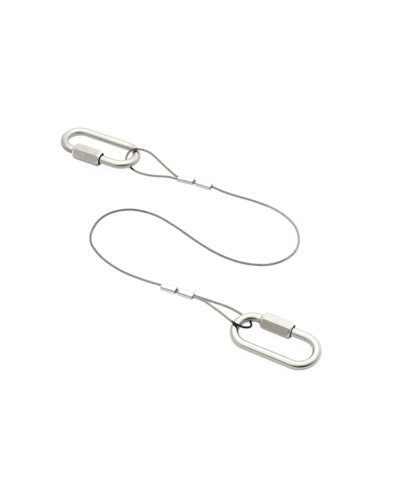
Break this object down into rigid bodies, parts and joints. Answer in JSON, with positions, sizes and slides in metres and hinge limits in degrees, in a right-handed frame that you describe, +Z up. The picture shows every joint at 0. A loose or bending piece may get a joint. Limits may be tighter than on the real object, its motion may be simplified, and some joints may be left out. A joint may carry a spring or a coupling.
{
  "type": "wire rope lanyard",
  "caption": "Steel wire-rope safety lanyard: a thin rope lying in an S, with a crimped eye and a screw quick link at each end.",
  "frame": {"origin": "midway between the two quick links, on the surface that the lanyard lies on", "axes": "+X runs along the links to the right, +Y away from the viewer, +Z up"},
  "size_m": [0.1656, 0.0896, 0.007],
  "materials": {
    "rope_steel": "bare twisted strands",
    "ferrule_metal": "plain, crimped",
    "link_steel": "tumble polished",
    "nut_steel": "turned and milled, satin"
  },
  "bodies": {
    "rope": {"wire_rope": "rope_steel", "left_ferrule_eye": "ferrule_metal", "left_ferrule_tail": "ferrule_metal", "right_ferrule_eye": "ferrule_metal", "right_ferrule_tail": "ferrule_metal"},
    "left_link": {"left_link_body": "link_steel"},
    "left_nut": {"left_link_nut": "nut_steel"},
    "right_link": {"right_link_body": "link_steel"},
    "right_nut": {"right_link_nut": "nut_steel"}
  },
  "joints": [
    {"name": "left_link_swing", "type": "hinge", "parent": "rope", "child": "left_link", "pos_m": [-0.04406, 0.03188, 0.00311], "axis": [-0.2155, 0.9716, -0.098], "range_deg": [0, 80]},
    {"name": "left_nut_slide", "type": "slide", "parent": "left_link", "child": "left_nut", "axis": [0.9998, 0.0199, 0], "range_m": [0, 0.008]},
    {"name": "right_link_swing", "type": "hinge", "parent": "rope", "child": "right_link", "pos_m": [0.0448, -0.03017, 0.00321], "axis": [0.0532, -0.9936, -0.0997], "range_deg": [0, 80]},
    {"name": "right_nut_slide", "type": "slide", "parent": "right_link", "child": "right_nut", "axis": [0.9998, -0.0199, 0], "range_m": [0, 0.008]}
  ]
}
